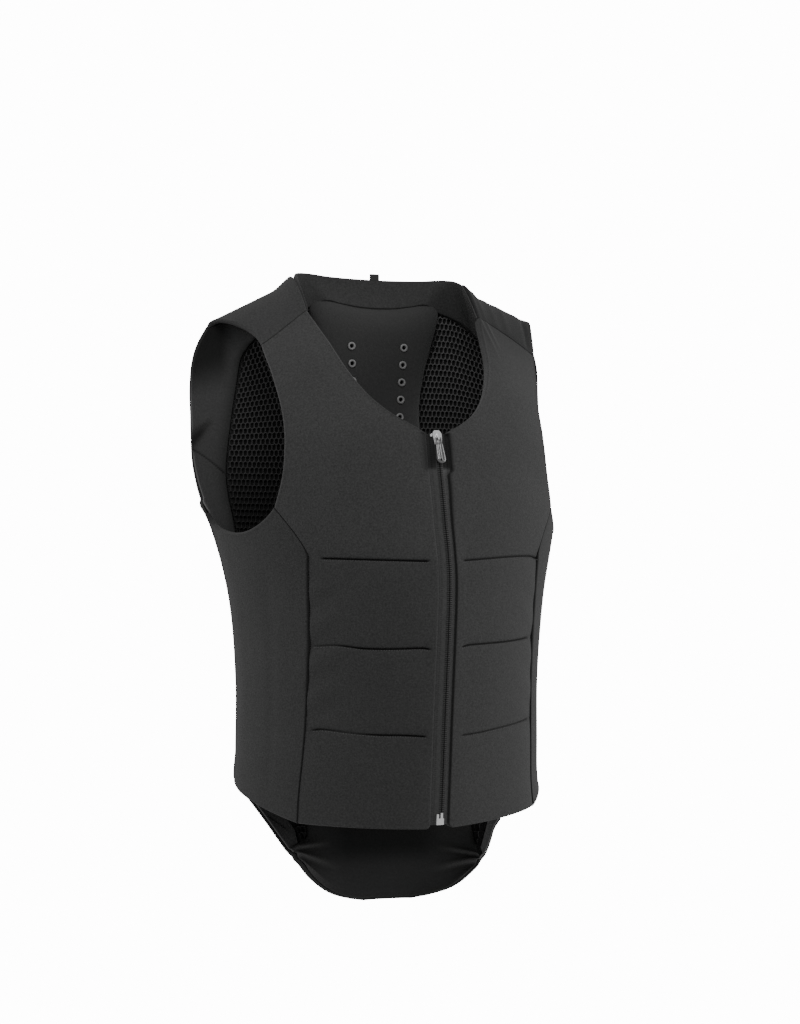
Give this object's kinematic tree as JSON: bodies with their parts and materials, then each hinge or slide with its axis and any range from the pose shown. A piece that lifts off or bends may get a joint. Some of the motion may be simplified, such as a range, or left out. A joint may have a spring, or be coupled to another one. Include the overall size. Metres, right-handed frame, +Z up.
{
  "type": "protective vest",
  "caption": "Sleeveless padded body vest with quilted zip front, plain side panels, long rounded back tail and a spine pad set between mesh flanks inside the back.",
  "frame": {"origin": "on the shoulder line, midway between the two neck points", "axes": "+Z up, -Y out of the front, +X towards the wearer's left; worn form, held up at the shoulders"},
  "size_m": [0.393, 0.2042, 0.6458],
  "materials": {
    "front_fabric": "matt stretch weave, charcoal",
    "side_fabric": "matt stretch weave, charcoal",
    "shoulder_fabric": "matt stretch weave, charcoal",
    "back_fabric": "matt stretch weave, charcoal",
    "pad_fabric": "smooth matt cover over foam",
    "facing": "smooth matt lining",
    "mesh": "open spacer mesh, black",
    "collar_fabric": "matt stretch weave, charcoal",
    "loop_tape": "narrow woven tape, black",
    "zip_tape": "woven tape, charcoal",
    "zip_coil": "black nylon",
    "zip_metal": "bright nickel",
    "eyelet": "satin grey"
  },
  "bodies": {
    "vest": {"front_panel_left": "front_fabric", "side_panel_left": "side_fabric", "shoulder_yoke_left": "shoulder_fabric", "mesh_flank_left": "mesh", "edge_facing_left": "facing", "front_panel_right": "front_fabric", "side_panel_right": "side_fabric", "shoulder_yoke_right": "shoulder_fabric", "mesh_flank_right": "mesh", "edge_facing_right": "facing", "back_panel": "back_fabric", "back_pad": "pad_fabric", "eyelet_1_left": "eyelet", "eyelet_1_right": "eyelet", "eyelet_2_left": "eyelet", "eyelet_2_right": "eyelet", "eyelet_3_left": "eyelet", "eyelet_3_right": "eyelet", "eyelet_4_left": "eyelet", "eyelet_4_right": "eyelet", "eyelet_5_left": "eyelet", "eyelet_5_right": "eyelet", "collar_band": "collar_fabric", "hanger_loop": "loop_tape", "zip_tape_left": "zip_tape", "zip_tape_right": "zip_tape", "zip_coil": "zip_coil", "zip_slider": "zip_metal", "zip_top_stop": "zip_metal", "zip_box": "zip_metal"},
    "pull": {"zip_pull": "zip_metal"}
  },
  "joints": [
    {"name": "pull_hinge", "type": "hinge", "parent": "vest", "child": "pull", "pos_m": [0, -0.14893, -0.16557], "axis": [-1, 0, 0], "range_deg": [0, 150]}
  ]
}
